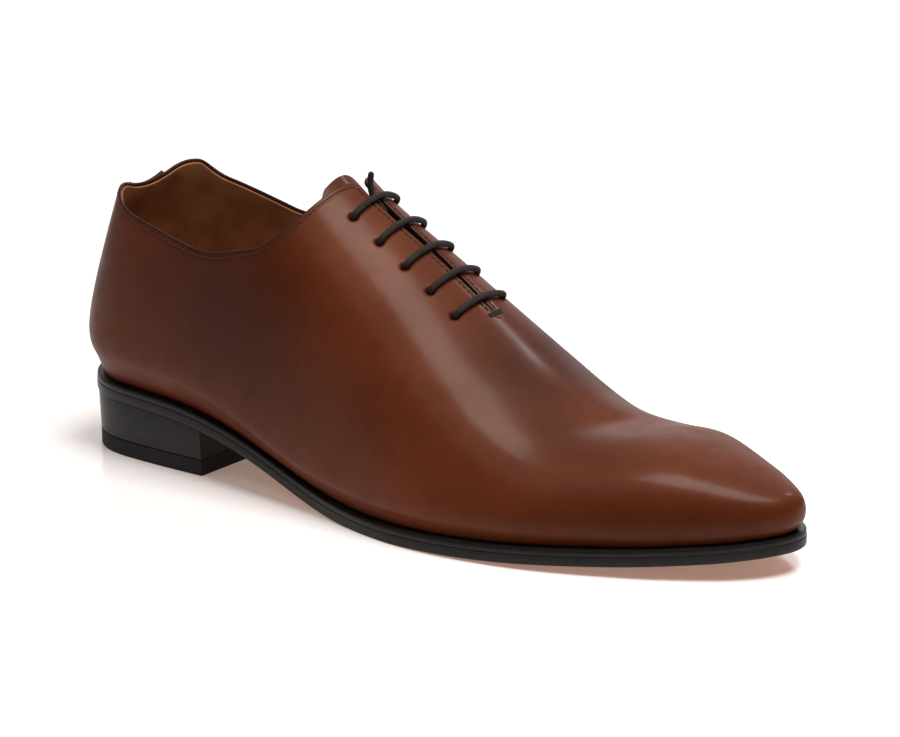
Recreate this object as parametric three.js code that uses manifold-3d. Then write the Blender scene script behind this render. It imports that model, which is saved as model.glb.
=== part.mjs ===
import * as THREE from 'three';
import Module from 'manifold-3d';

const wasm = await Module();
wasm.setup();

// A right oxford shoe. Millimetres: toe along +X, inner side of the foot along +Y, floor at z = 0.
// Distances along the shoe start at the back of the sole, and the whole stands with its origin in the
// middle of the heel's tread.

// Driving sizes of the last
const soleLength = 300;
const ballWidth = 100;
const instepHeight = 110;
const heelRise = 20.8;
const toeSpring = 7.8;

// Driving sizes of the pieces
const upperWall = 2;
const marginWidth = 9;
const insoleThickness = 2.5;
const weltThickness = 2;
const outsoleThickness = 3.6;
const liftThickness = 6;
const heelLength = 66;
const ledgeWidth = 4;
const edgeStep = 0.5;
const heelTaper = 0.8;
const slitWidth = 4;
const laceRadius = 1.15;
const tongueThickness = 1.6;
const tabThickness = 1;
const tabLength = 24;

// Clearances
const fit = 0.3;
const insoleClearance = 0.7;
const eyeletClearance = 0.35;
const laceClearance = 0.45;

// Height of the last's bottom above the floor at the ball
const lastFloor = fit + weltThickness + fit + outsoleThickness;

// Sections of the last from the heel to the toe, a row each. at is a share of the sole's length.
// pitch and spring are shares of the heel's rise and the toe spring, ledge of the ledge's width.
// foot and wide are the half widths at the feather and at the fullest height, as shares of the ball
// width, Out on the outer side and In on the inner side, and lean moves the ridge sideways.
// swell and rise, shares of the instep height, lift the fullest height and the ridge over the feather.
// full is the power that rounds the girth between them.
const sectionColumns = [
  'at', 'pitch', 'spring', 'ledge', 'footOut', 'footIn', 'wideOut', 'wideIn', 'swell', 'rise', 'lean',
  'fullOut', 'fullIn',
];
const sections = [
  [0.110, 1.000, 0.000, 0.85, 0.295, 0.290, 0.340, 0.320, 0.220, 1.175, 0.000, 1.75, 1.90],
  [0.205, 0.885, 0.000, 0.80, 0.315, 0.280, 0.365, 0.325, 0.210, 1.136, 0.000, 1.85, 2.00],
  [0.300, 0.520, 0.000, 0.60, 0.335, 0.240, 0.400, 0.325, 0.190, 1.045, 0.010, 2.10, 2.10],
  [0.385, 0.145, 0.000, 0.70, 0.375, 0.230, 0.440, 0.330, 0.170, 0.916, 0.010, 2.15, 2.15],
  [0.475, 0.000, 0.000, 0.90, 0.460, 0.280, 0.495, 0.360, 0.145, 0.782, 0.015, 2.05, 2.15],
  [0.560, 0.000, 0.000, 1.00, 0.520, 0.350, 0.540, 0.400, 0.125, 0.622, 0.020, 2.00, 2.15],
  [0.640, 0.000, 0.070, 1.00, 0.525, 0.400, 0.540, 0.435, 0.110, 0.461, 0.025, 1.95, 2.05],
  [0.710, 0.000, 0.175, 1.00, 0.495, 0.415, 0.510, 0.445, 0.100, 0.350, 0.030, 1.95, 1.75],
  [0.770, 0.000, 0.313, 1.00, 0.445, 0.405, 0.460, 0.425, 0.090, 0.300, 0.030, 2.05, 1.85],
  [0.830, 0.000, 0.451, 0.95, 0.375, 0.365, 0.390, 0.385, 0.086, 0.281, 0.030, 2.15, 2.15],
  [0.880, 0.000, 0.600, 0.90, 0.305, 0.305, 0.320, 0.320, 0.082, 0.248, 0.030, 2.20, 2.20],
  [0.930, 0.000, 0.763, 0.85, 0.215, 0.220, 0.230, 0.235, 0.073, 0.200, 0.030, 2.20, 2.20],
].map((row) => Object.fromEntries(row.map((value, i) => [sectionColumns[i], value])));

// Middle profiles of the heel and the toe, the six girth rows from the feather to the ridge.
// at is a share of the sole's length, rise of the instep height over the feather.
// along and across are the powers that carry the end's plan round to the first section.
const heelEnd = {
  pitch: 1.07,
  spring: 0,
  ledge: 0.45,
  along: 0.93,
  across: 0.93,
  turns: [0, 28, 58],
  profile: [
    { at: 0.0060, rise: 0 },
    { at: -0.0030, rise: 0.075 },
    { at: -0.0075, rise: 0.21 },
    { at: 0.0400, rise: 0.56 },
    { at: 0.1000, rise: 0.90 },
    { at: 0.1600, rise: 1.22 },
  ],
};
const toeEnd = {
  pitch: 0,
  spring: 1,
  ledge: 0.75,
  along: 2,
  across: 1,
  turns: [0, 25, 52],
  profile: [
    { at: 0.9900, rise: 0 },
    { at: 0.9965, rise: 0.023 },
    { at: 1.0000, rise: 0.055 },
    { at: 0.9980, rise: 0.095 },
    { at: 0.9820, rise: 0.130 },
    { at: 0.9530, rise: 0.160 },
  ],
};

// Turns, in degrees, of the girth rows from the fullest height up, and of the row under it
const girthTurns = [0, 34, 64, 90];
const lowTurn = 48;
const ridgeGirth = 5;

// Stations along the shoe: the heel's middle is 0, each section and turn of the ends counts one
const firstSection = heelEnd.turns.length;
const lastSection = firstSection + sections.length - 1;
const toeStation = lastSection + toeEnd.turns.length;
const facingTop = 6;
const throatEnd = 8.15;

// Height of the topline, as the girth that it cuts at a station
const rim = [
  { station: 0, girth: 3.20 },
  { station: 1, girth: 3.15 },
  { station: 2, girth: 2.98 },
  { station: 3, girth: 2.78 },
  { station: 4, girth: 2.72 },
  { station: 5, girth: 2.96 },
  { station: 5.5, girth: 3.36 },
  { station: 5.7, girth: 3.79 },
  { station: 5.8, girth: 4.21 },
  { station: 5.9, girth: 4.75 },
  { station: 6.05, girth: 5.05 },
];

// Rows of the upper's surface, as shares of the way from the feather to its top edge
const girthShares = [0, 0.09, 0.18, 0.28, 0.38, 0.46, 0.54, 0.62, 0.7, 0.78, 0.86, 0.93, 1];

// Lace holes from the top down, and the order in which the lace crosses at them
const holeStations = [6.21, 6.64, 7.07, 7.5, 7.93];
const holeGirth = 4.31;
const crossings = [1, 3, 4, 2, 0];

// How far the lace's hidden start and end run on, in girth and in stations, and how far a run keeps
// from the hole that it passes
const startGirth = 0.12;
const endStations = 0.18;
const passGirth = 0.17;
const outer = -1;
const inner = 1;

const radians = THREE.MathUtils.degToRad;

// Natural cubic spline through rows of numbers that lie one step apart
function splineThrough(rows) {
  const end = rows.length - 1;
  const bends = rows.map((row) => row.map(() => 0));
  const carry = [0];
  for (let i = 1; i < end; i += 1) {
    const pivot = 4 - carry[i - 1];
    carry[i] = 1 / pivot;
    bends[i] = rows[i].map((value, k) => (
      (6 * (rows[i + 1][k] - 2 * value + rows[i - 1][k]) - bends[i - 1][k]) / pivot
    ));
  }
  for (let i = end - 1; i > 0; i -= 1) {
    bends[i] = bends[i].map((bend, k) => bend - carry[i] * bends[i + 1][k]);
  }
  return (t) => {
    const i = THREE.MathUtils.clamp(Math.floor(t), 0, end - 1);
    const b = THREE.MathUtils.clamp(t - i, 0, 1);
    const a = 1 - b;
    return rows[i].map((value, k) => (
      value * a + rows[i + 1][k] * b
      + ((a ** 3 - a) * bends[i][k] + (b ** 3 - b) * bends[i + 1][k]) / 6
    ));
  };
}

// Height of the last's bottom above the floor
function bottomHeight({ pitch, spring }) {
  return lastFloor + heelRise * pitch + toeSpring * spring;
}

// The six girth rows of a section on one side
function sectionRows(section, side) {
  const x = section.at * soleLength;
  const z = bottomHeight(section);
  const foot = ballWidth * (side === outer ? section.footOut : section.footIn);
  const wide = ballWidth * (side === outer ? section.wideOut : section.wideIn);
  const full = side === outer ? section.fullOut : section.fullIn;
  const lean = section.lean * ballWidth;
  const swell = section.swell * instepHeight;
  const ridge = section.rise * instepHeight;
  const turn = radians(lowTurn);
  const rows = [
    [x, side * foot, z],
    [x, side * (foot + (wide - foot) * Math.sin(turn)), z + swell * (1 - Math.cos(turn))],
  ];
  for (const angle of girthTurns) {
    const out = Math.max(Math.cos(radians(angle)), 0) ** (2 / full);
    const high = Math.sin(radians(angle)) ** (2 / full);
    rows.push([x, lean + (side * wide - lean) * out, z + swell + (ridge - swell) * high]);
  }
  return rows;
}

// A station of the heel's or the toe's round end, between its middle profile and the next section
function endStation(end, section, angle) {
  const turn = radians(angle);
  const toSection = Math.sin(turn) ** 2;
  const middle = section.lean * ballWidth;
  const z = bottomHeight(end);
  const sideRows = (side) => sectionRows(section, side).map(([x, y, height], j) => {
    const tipX = end.profile[j].at * soleLength;
    const tipZ = z + end.profile[j].rise * instepHeight;
    return [
      x + (tipX - x) * Math.cos(turn) ** end.along,
      middle + (y - middle) * Math.sin(turn) ** end.across,
      tipZ + (height - tipZ) * toSection,
    ];
  });
  return {
    ledge: end.ledge + (section.ledge - end.ledge) * toSection,
    rows: { [outer]: sideRows(outer), [inner]: sideRows(inner) },
  };
}

const stations = [
  ...heelEnd.turns.map((angle) => endStation(heelEnd, sections[0], angle)),
  ...sections.map((section) => ({
    ledge: section.ledge,
    rows: { [outer]: sectionRows(section, outer), [inner]: sectionRows(section, inner) },
  })),
  ...toeEnd.turns.map((angle) => endStation(toeEnd, sections.at(-1), angle)).reverse(),
];

// Closed walk round the shoe, toe, outer side, heel, inner side and toe, with a little of it repeated
const walkOverlap = 4;
const outerWalk = stations.map((station) => station.rows[outer].flat());
const innerWalk = stations.map((station) => station.rows[inner].flat());
const walk = splineThrough([
  ...innerWalk.slice(-1 - walkOverlap, -1),
  ...outerWalk.toReversed(),
  ...innerWalk.slice(1),
  ...outerWalk.slice(-1 - walkOverlap, -1).toReversed(),
]);
const heelOnWalk = walkOverlap + toeStation;
const ledgeShare = splineThrough(stations.map((station) => [station.ledge]));

// Splines through the girth at a station, from the outer feather over the ridge to the inner feather
const girths = new Map();
function girthAt(t) {
  if (!girths.has(t)) {
    const flat = [...walk(heelOnWalk - t), ...walk(heelOnWalk + t)];
    const points = [];
    for (let i = 0; i < flat.length; i += 3) {
      points.push(flat.slice(i, i + 3));
    }
    const half = points.length / 2;
    girths.set(t, splineThrough([...points.slice(0, half), ...points.slice(half, -1).reverse()]));
  }
  return girths.get(t);
}

// A point of the last: girth runs from 0 at the feather to ridgeGirth on either side, and a station
// past the heel's or the toe's middle lies on the other side
function lastPoint(side, t, girth) {
  if (t < 0) {
    return lastPoint(-side, -t, girth);
  }
  if (t > toeStation) {
    return lastPoint(-side, 2 * toeStation - t, girth);
  }
  return new THREE.Vector3(...girthAt(t)(side === outer ? girth : 2 * ridgeGirth - girth));
}

// Outward normal of the last, from points a little way off on either side
const reach = 0.02;
function lastNormal(side, t, girth) {
  const along = lastPoint(side, t + reach, girth).sub(lastPoint(side, t - reach, girth));
  const over = lastPoint(side, t, girth + reach).sub(lastPoint(side, t, girth - reach));
  return along.cross(over).multiplyScalar(-side).normalize();
}

// A point that stands off the last by a height, inside it where the height is below zero
function offLast(side, t, girth, height) {
  return lastPoint(side, t, girth).addScaledVector(lastNormal(side, t, girth), height);
}

// Level direction from the feather towards the middle of the shoe
function inward(side, t) {
  const along = lastPoint(side, t + reach, 0).sub(lastPoint(side, t - reach, 0));
  return new THREE.Vector3(-along.y, along.x, 0).multiplyScalar(-side).normalize();
}

// Station where the feather reaches a distance along the shoe
function stationAt(x) {
  const halvings = 30;
  let low = 0;
  let high = toeStation;
  for (let i = 0; i < halvings; i += 1) {
    const middle = (low + high) / 2;
    if (walk(heelOnWalk - middle)[0] < x) {
      low = middle;
    } else {
      high = middle;
    }
  }
  return low;
}
const breastStation = stationAt(heelLength);

// Heights over the floor, level across the shoe, at a distance along it
const lastBottom = (x) => walk(heelOnWalk - stationAt(x))[2];
const outsoleTop = (x) => lastBottom(x) - fit - weltThickness - fit;
const outsoleBottom = (x) => Math.max(outsoleTop(x) - outsoleThickness, 0);

// A point of a plan outline that runs outside the feather by a distance, at the height for its x
function outlinePoint(side, t, distance, height) {
  const point = lastPoint(side, t, 0).addScaledVector(inward(side, t), -distance);
  return point.setZ(height(point.x));
}

const soleLedge = (t) => ledgeWidth * ledgeShare(t)[0];

// Columns along the shoe that the upper, welt, insole and sole share, so that their facets run alike
const columns = [0];
for (const { to, steps } of [
  { to: firstSection, steps: 9 },
  { to: breastStation, steps: 4 },
  { to: firstSection + 2, steps: 3 },
  { to: firstSection + 2.5, steps: 2 },
  { to: facingTop, steps: 5 },
  { to: throatEnd, steps: 7 },
  { to: lastSection, steps: 15 },
  { to: toeStation, steps: 8 },
]) {
  const from = columns.at(-1);
  for (let i = 1; i <= steps; i += 1) {
    columns.push(from + ((to - from) * i) / steps);
  }
}

// Girth of the topline at a station, by a curve that keeps between the table's rows
function rimGirth(t) {
  const slope = (i) => (rim[i + 1].girth - rim[i].girth) / (rim[i + 1].station - rim[i].station);
  const bend = (i) => {
    if (i === 0 || i === rim.length - 1 || slope(i - 1) * slope(i) <= 0) {
      return 0;
    }
    return 2 / (1 / slope(i - 1) + 1 / slope(i));
  };
  const found = rim.findIndex((row) => row.station > t);
  const i = (found < 0 ? rim.length - 1 : found) - 1;
  const width = rim[i + 1].station - rim[i].station;
  const s = Math.min((t - rim[i].station) / width, 1);
  return rim[i].girth * (1 + 2 * s) * (1 - s) ** 2 + rim[i + 1].girth * s * s * (3 - 2 * s)
    + width * (bend(i) * s * (1 - s) ** 2 - bend(i + 1) * s * s * (1 - s));
}

// Half the throat's gap, widest between the facings' tops and closed at the throat's end
const slitPower = 0.7;
function slitHalf(t) {
  const down = THREE.MathUtils.clamp((t - facingTop) / (throatEnd - facingTop), 0, 1);
  return (slitWidth / 2) * (1 - down) ** slitPower;
}

// Girth where the upper's surface ends: the topline, the throat's edge or the ridge itself
function topGirth(t) {
  const near = 0.2;
  const ridge = lastPoint(outer, t, ridgeGirth);
  const perGirth = ridge.distanceTo(lastPoint(outer, t, ridgeGirth - near)) / near;
  const edge = ridgeGirth - slitHalf(t) / perGirth;
  return t <= facingTop ? Math.min(rimGirth(t), edge) : edge;
}

// A body under construction: points that coincide are one, and flat triangles are left out
function newBody() {
  return { points: [], faces: [], known: new Map() };
}

function addPoint(body, point) {
  const key = point.toArray().map((value) => Math.round(value * 1000)).join();
  if (!body.known.has(key)) {
    body.known.set(key, body.points.length);
    body.points.push(point);
  }
  return body.known.get(key);
}

function addFace(body, a, b, c) {
  if (a !== b && b !== c && c !== a) {
    body.faces.push([a, b, c]);
  }
}

// A four-sided facet of a body, turned over on the inner side of the shoe
function addQuad(body, [a, b, c, d], turned) {
  if (turned) {
    addFace(body, a, c, b);
    addFace(body, a, d, c);
  } else {
    addFace(body, a, b, c);
    addFace(body, a, c, d);
  }
}

function bodyGeometry(body) {
  const geometry = new THREE.BufferGeometry();
  const positions = body.points.flatMap((point) => point.toArray());
  geometry.setAttribute('position', new THREE.Float32BufferAttribute(positions, 3));
  geometry.setIndex(body.faces.flat());
  return geometry;
}

// Closed body between two grids of points, [column][row], with the first grid on top
function slab(top, bottom) {
  const body = newBody();
  const high = top.map((column) => column.map((point) => addPoint(body, point)));
  const low = bottom.map((column) => column.map((point) => addPoint(body, point)));
  const lastColumn = high.length - 1;
  const lastRow = high[0].length - 1;
  for (let c = 0; c < lastColumn; c += 1) {
    for (let r = 0; r < lastRow; r += 1) {
      addQuad(body, [high[c][r], high[c + 1][r], high[c + 1][r + 1], high[c][r + 1]], false);
      addQuad(body, [low[c][r], low[c + 1][r], low[c + 1][r + 1], low[c][r + 1]], true);
    }
    addQuad(body, [low[c][0], low[c + 1][0], high[c + 1][0], high[c][0]], false);
    addQuad(body, [low[c][lastRow], low[c + 1][lastRow], high[c + 1][lastRow], high[c][lastRow]], true);
  }
  for (const [c, turned] of [[0, true], [lastColumn, false]]) {
    for (let r = 0; r < lastRow; r += 1) {
      addQuad(body, [low[c][r], low[c][r + 1], high[c][r + 1], high[c][r]], turned);
    }
  }
  return bodyGeometry(body);
}

// Sole-like plate over the given stations: level across, its edge outside the feather by a distance
function plate(along, { distance, top, bottom, footDistance = distance }) {
  const across = (edge, height) => along.map((t) => (
    [outer, inner].map((side) => outlinePoint(side, t, edge(t), height))
  ));
  return slab(across(distance, top), across(footDistance, bottom));
}

function makeOutsole() {
  return plate(columns, { distance: soleLedge, top: outsoleTop, bottom: outsoleBottom });
}

function makeInsole() {
  const bottom = (x) => lastBottom(x) + upperWall + fit;
  return plate(columns, {
    distance: () => -upperWall - insoleClearance,
    top: (x) => bottom(x) + insoleThickness,
    bottom,
  });
}

const heelColumns = columns.filter((t) => t <= breastStation);
const heelEdge = (t) => soleLedge(t) - edgeStep;
const heelFootEdge = (t) => heelEdge(t) - heelTaper;

function makeHeelBlock() {
  return plate(heelColumns, {
    distance: heelEdge,
    footDistance: heelFootEdge,
    top: (x) => outsoleBottom(x) - fit,
    bottom: () => liftThickness + fit,
  });
}

function makeTopLift() {
  return plate(heelColumns, { distance: heelFootEdge, top: () => liftThickness, bottom: () => 0 });
}

// The welt, a ring all round between the upper and the outsole
function makeWelt() {
  const body = newBody();
  const top = (x) => lastBottom(x) - fit;
  const bottom = (x) => top(x) - weltThickness;
  const sectionOf = (side, t) => {
    const outEdge = soleLedge(t) - edgeStep;
    return [
      outlinePoint(side, t, -marginWidth, bottom),
      outlinePoint(side, t, outEdge, bottom),
      outlinePoint(side, t, outEdge, top),
      outlinePoint(side, t, -marginWidth, top),
    ].map((point) => addPoint(body, point));
  };
  for (const side of [outer, inner]) {
    sweep(body, columns.map((t) => sectionOf(side, t)), side);
  }
  return bodyGeometry(body);
}

// Facets between neighbouring closed sections of one side, apart from the strips that skip names
function sweep(body, sectionList, side, skip = () => false) {
  for (let c = 0; c < sectionList.length - 1; c += 1) {
    const [here, next] = [sectionList[c], sectionList[c + 1]];
    for (let k = 0; k < here.length; k += 1) {
      const after = (k + 1) % here.length;
      if (!skip(c, k)) {
        addQuad(body, [here[k], next[k], next[after], here[after]], side === inner);
      }
    }
  }
}

// Normals of a body's points, from the facets that meet there
function pointNormals(body) {
  const geometry = bodyGeometry(body);
  geometry.computeVertexNormals();
  const normals = geometry.getAttribute('normal');
  return body.points.map((_, i) => new THREE.Vector3().fromBufferAttribute(normals, i));
}

// The upper: one hollow wall over the last, open at the topline, the throat and underneath,
// with its margin turned in under the insole
function upperBody() {
  const skin = newBody();
  const skinRows = (side) => columns.map((t) => girthShares.map((share) => (
    addPoint(skin, lastPoint(side, t, share * topGirth(t)))
  )));
  const skins = { [outer]: skinRows(outer), [inner]: skinRows(inner) };
  const lastRow = girthShares.length - 1;
  for (const side of [outer, inner]) {
    sweep(skin, skins[side], side, (c, k) => k === lastRow);
  }
  const normals = pointNormals(skin);
  const body = newBody();
  const marginTop = (x) => lastBottom(x) + upperWall;
  const sectionOf = (side, t, ids) => {
    const tip = outlinePoint(side, t, -marginWidth, lastBottom);
    const tipTop = outlinePoint(side, t, -marginWidth, marginTop);
    const corner = outlinePoint(side, t, -upperWall, marginTop);
    const outside = ids.map((id) => skin.points[id]);
    const inside = ids.slice(1).map((id) => (
      skin.points[id].clone().addScaledVector(normals[id], -upperWall)
    ));
    return [tip, ...outside, ...inside.reverse(), corner, tipTop].map((point) => addPoint(body, point));
  };
  const rimStrip = lastRow + 1;
  const throatColumn = columns.indexOf(throatEnd);
  for (const side of [outer, inner]) {
    const list = columns.map((t, c) => sectionOf(side, t, skins[side][c]));
    sweep(body, list, side, (c, k) => k === rimStrip && c >= throatColumn);
  }
  return body;
}

function toSolid(positions, triangles) {
  return new wasm.Manifold(new wasm.Mesh({
    numProp: 3,
    vertProperties: Float32Array.from(positions),
    triVerts: Uint32Array.from(triangles),
  }));
}

// A plain peg through the wall at a lace hole
function holePeg(side, t) {
  const radius = laceRadius + eyeletClearance;
  const pegLength = 3 * upperWall;
  const pegSides = 12;
  const geometry = new THREE.CylinderGeometry(radius, radius, pegLength, pegSides);
  const normal = lastNormal(side, t, holeGirth);
  geometry.applyQuaternion(new THREE.Quaternion().setFromUnitVectors(new THREE.Vector3(0, 1, 0), normal));
  geometry.translate(...offLast(side, t, holeGirth, -upperWall / 2).toArray());
  const peg = newBody();
  const position = geometry.getAttribute('position');
  const ids = Array.from({ length: position.count }, (_, i) => (
    addPoint(peg, new THREE.Vector3().fromBufferAttribute(position, i))
  ));
  const index = geometry.getIndex().array;
  for (let i = 0; i < index.length; i += 3) {
    addFace(peg, ids[index[i]], ids[index[i + 1]], ids[index[i + 2]]);
  }
  return toSolid(peg.points.flatMap((point) => point.toArray()), peg.faces.flat());
}

function makeUpper() {
  const body = upperBody();
  let solid = toSolid(body.points.flatMap((point) => point.toArray()), body.faces.flat());
  for (const side of [outer, inner]) {
    for (const t of holeStations) {
      solid = solid.subtract(holePeg(side, t));
    }
  }
  const { vertProperties, triVerts } = solid.getMesh();
  const geometry = new THREE.BufferGeometry();
  geometry.setAttribute('position', new THREE.BufferAttribute(vertProperties, 3));
  geometry.setIndex(new THREE.BufferAttribute(triVerts, 1));
  return geometry;
}

// Depth of the lace's inside runs under the last's surface, and of the tongue under them
const bendRadius = laceRadius + laceClearance;
const runDepth = upperWall + bendRadius;
const tongueDepth = runDepth + laceRadius + fit;

// The tongue, a strip under the facings that comes up against the vamp past the throat
function makeTongue() {
  const strip = [
    { station: 5.72, half: 0.62, sink: 1 },
    { station: 5.78, half: 0.84, sink: 1 },
    { station: 5.92, half: 0.98, sink: 1 },
    { station: 6.4, half: 1, sink: 1 },
    { station: 7, half: 0.98, sink: 1 },
    { station: 7.6, half: 0.92, sink: 1 },
    { station: 8.1, half: 0.86, sink: 0.9 },
    { station: 8.35, half: 0.82, sink: 0.4 },
    { station: 8.6, half: 0.76, sink: 0 },
    { station: 8.85, half: 0.6, sink: 0 },
  ];
  const shares = [-1, -0.75, -0.5, -0.25, 0, 0.25, 0.5, 0.75, 1];
  const shallow = upperWall + fit;
  const layer = (thickness) => strip.map(({ station, half, sink }) => shares.map((share) => {
    const side = share > 0 ? inner : outer;
    const depth = shallow + (tongueDepth - shallow) * sink + thickness;
    return offLast(side, station, ridgeGirth - Math.abs(share) * half, -depth);
  }));
  return slab(layer(0), layer(tongueThickness));
}

// The strap over the back seam, from the topline down the heel
function makeHeelTab() {
  const topRow = rimGirth(0) - 0.04;
  const perGirth = lastPoint(outer, 0, topRow).distanceTo(lastPoint(outer, 0, topRow - 1));
  const tabColumns = [1, 0.6, 0.2, -0.2, -0.6, -1];
  const tabRows = [
    { down: 1, half: 0.3 },
    { down: 0.92, half: 0.44 },
    { down: 0.6, half: 0.5 },
    { down: 0.3, half: 0.6 },
    { down: 0, half: 0.75 },
  ];
  const layer = (height) => tabColumns.map((share) => tabRows.map(({ down, half }) => {
    const side = share > 0 ? inner : outer;
    return offLast(side, Math.abs(share) * half, topRow - (down * tabLength) / perGirth, height);
  }));
  return slab(layer(fit + tabThickness), layer(fit));
}

// Points of the lace round the edge of a hole, from the hole's axis to its run beside the wall.
// level is the wall's face there, towards the next point of the run, and rise is 1 outside, -1 inside.
function bendPoints(side, t, level, rise, next) {
  const axis = offLast(side, t, holeGirth, level);
  const normal = lastNormal(side, t, holeGirth);
  const along = next.clone().sub(axis);
  along.addScaledVector(normal, -along.dot(normal)).normalize();
  return [0, 30, 60, 90].map((angle) => axis.clone()
    .addScaledVector(along, bendRadius * (1 - Math.cos(radians(angle))))
    .addScaledVector(normal, rise * bendRadius * Math.sin(radians(angle))));
}

// One crossing over the facings, from a side to the other, with the bend into each hole
function barPoints(from, t) {
  const shares = [0.6, 0.3, 0];
  const over = (side, share) => (
    offLast(side, t, ridgeGirth - share * (ridgeGirth - holeGirth), bendRadius)
  );
  const middle = [
    ...shares.map((share) => over(from, share)),
    ...shares.slice(0, -1).reverse().map((share) => over(-from, share)),
  ];
  return [
    ...bendPoints(from, t, 0, 1, middle[0]),
    ...middle,
    ...bendPoints(-from, t, 0, 1, middle.at(-1)).reverse(),
  ];
}

// The lace's way under a facing between two holes, past the hole between them where there is one
function runPoints(side, from, to, pass) {
  const shares = [0.3, 0.5, 0.7];
  const middle = shares.map((share) => offLast(
    side,
    THREE.MathUtils.lerp(from, to, share),
    holeGirth + pass * (1 - Math.abs(share - 0.5)),
    -runDepth,
  ));
  return [
    ...bendPoints(side, from, -upperWall, -1, middle[0]),
    ...middle,
    ...bendPoints(side, to, -upperWall, -1, middle.at(-1)).reverse(),
  ];
}

// A route whose steps fall on its own points, so that its bends stay round
class Route extends THREE.CatmullRomCurve3 {
  getPointAt(u, target) {
    return this.getPoint(u, target);
  }

  getTangentAt(u, target) {
    return this.getTangent(u, target);
  }
}

function laceTube(points) {
  const section = new THREE.Shape();
  const laceSides = 8;
  for (let i = 0; i < laceSides; i += 1) {
    const angle = (i / laceSides) * 2 * Math.PI;
    const [x, y] = [laceRadius * Math.cos(angle), laceRadius * Math.sin(angle)];
    if (i === 0) {
      section.moveTo(x, y);
    } else {
      section.lineTo(x, y);
    }
  }
  return new THREE.ExtrudeGeometry(section, {
    steps: points.length - 1,
    extrudePath: new Route(points, false, 'centripetal'),
    curveSegments: 1,
  });
}

// Straight-bar lacing in one length: its crossings in order, joined by runs under the facings
function makeLace() {
  const points = [];
  const start = offLast(inner, holeStations[crossings[0]], holeGirth + startGirth, -runDepth);
  points.push(start);
  points.push(...bendPoints(inner, holeStations[crossings[0]], -upperWall, -1, start).reverse());
  let side = inner;
  crossings.forEach((hole, i) => {
    points.push(...barPoints(side, holeStations[hole]));
    side = -side;
    if (i < crossings.length - 1) {
      const from = holeStations[hole];
      const to = holeStations[crossings[i + 1]];
      const skipsHole = Math.abs(crossings[i + 1] - hole) > 1;
      const pass = skipsHole ? passGirth * (i === 0 ? 1 : -1) : 0;
      points.push(...runPoints(side, from, to, pass));
    }
  });
  const lastHole = holeStations[crossings.at(-1)];
  const hidden = offLast(side, lastHole + endStations, holeGirth, -runDepth);
  points.push(...bendPoints(side, lastHole, -upperWall, -1, hidden));
  points.push(hidden);
  return laceTube(points);
}

// The lace's free end: from under the inner facing up through the gap, under the top crossing
function makeLaceEnd() {
  const route = [
    { station: 6.635, girth: 4.46, height: -runDepth },
    { station: 6.625, girth: 4.62, height: -runDepth },
    { station: 6.6, girth: 4.78, height: -runDepth },
    { station: 6.56, girth: 4.9, height: -runDepth },
    { station: 6.5, girth: 5, height: -3.5 },
    { station: 6.43, girth: 5, height: -3 },
    { station: 6.35, girth: 5, height: -2.1 },
    { station: 6.28, girth: 5, height: -1.35 },
    { station: 6.21, girth: 5, height: -1.2 },
    { station: 6.15, girth: 5, height: -0.7 },
    { station: 6.09, girth: 5, height: 0.5 },
    { station: 6.04, girth: 5, height: 2.2 },
    { station: 6, girth: 5, height: 4.2 },
    { station: 5.97, girth: 5, height: 6 },
  ];
  return laceTube(route.map(({ station, girth, height }) => offLast(inner, station, girth, height)));
}

function addPiece(group, name, geometry, color, roughness) {
  const material = new THREE.MeshStandardMaterial({ color, roughness, metalness: 0 });
  const mesh = new THREE.Mesh(geometry, material);
  mesh.name = name;
  group.add(mesh);
}

const shoe = new THREE.Group();
shoe.position.x = -heelLength / 2;
addPiece(shoe, 'upper', makeUpper(), '#5b3226', 0.35);
addPiece(shoe, 'heel_tab', makeHeelTab(), '#4a281f', 0.4);
addPiece(shoe, 'tongue', makeTongue(), '#55301f', 0.45);
addPiece(shoe, 'insole', makeInsole(), '#b07a4c', 0.6);
addPiece(shoe, 'welt', makeWelt(), '#231d1c', 0.45);
addPiece(shoe, 'outsole', makeOutsole(), '#231d1c', 0.4);
addPiece(shoe, 'heel_block', makeHeelBlock(), '#1e1a1a', 0.4);
addPiece(shoe, 'top_lift', makeTopLift(), '#171516', 0.7);
addPiece(shoe, 'lace', makeLace(), '#3b2d26', 0.6);
addPiece(shoe, 'lace_end', makeLaceEnd(), '#3b2d26', 0.6);

export default shoe;
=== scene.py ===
import math

import bmesh
import bpy
import numpy as np
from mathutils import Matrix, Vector


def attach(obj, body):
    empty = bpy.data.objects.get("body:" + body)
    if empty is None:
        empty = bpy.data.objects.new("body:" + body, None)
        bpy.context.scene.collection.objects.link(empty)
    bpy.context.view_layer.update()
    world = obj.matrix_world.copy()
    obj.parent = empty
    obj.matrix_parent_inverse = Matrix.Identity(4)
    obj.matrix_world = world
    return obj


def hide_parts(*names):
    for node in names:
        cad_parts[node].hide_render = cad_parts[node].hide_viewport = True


# A right oxford shoe: toe along +X, inner side of the foot along +Y, floor at z = 0.
# Its own sizes are in millimetres from the back of the sole, and toMetres puts them in the frame.

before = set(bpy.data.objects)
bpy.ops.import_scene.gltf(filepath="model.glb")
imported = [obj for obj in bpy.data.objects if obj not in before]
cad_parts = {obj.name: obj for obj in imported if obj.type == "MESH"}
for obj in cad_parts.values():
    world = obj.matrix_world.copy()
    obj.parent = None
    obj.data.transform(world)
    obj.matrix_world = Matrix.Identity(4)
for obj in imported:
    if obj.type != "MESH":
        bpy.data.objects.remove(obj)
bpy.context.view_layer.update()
print("the packed shoe is loaded")

heelMiddle = 33
mm = 0.001
outer = -1
inner = 1


def toMetres(points):
    return (np.asarray(points, float) - [heelMiddle, 0, 0]) * mm


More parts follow.
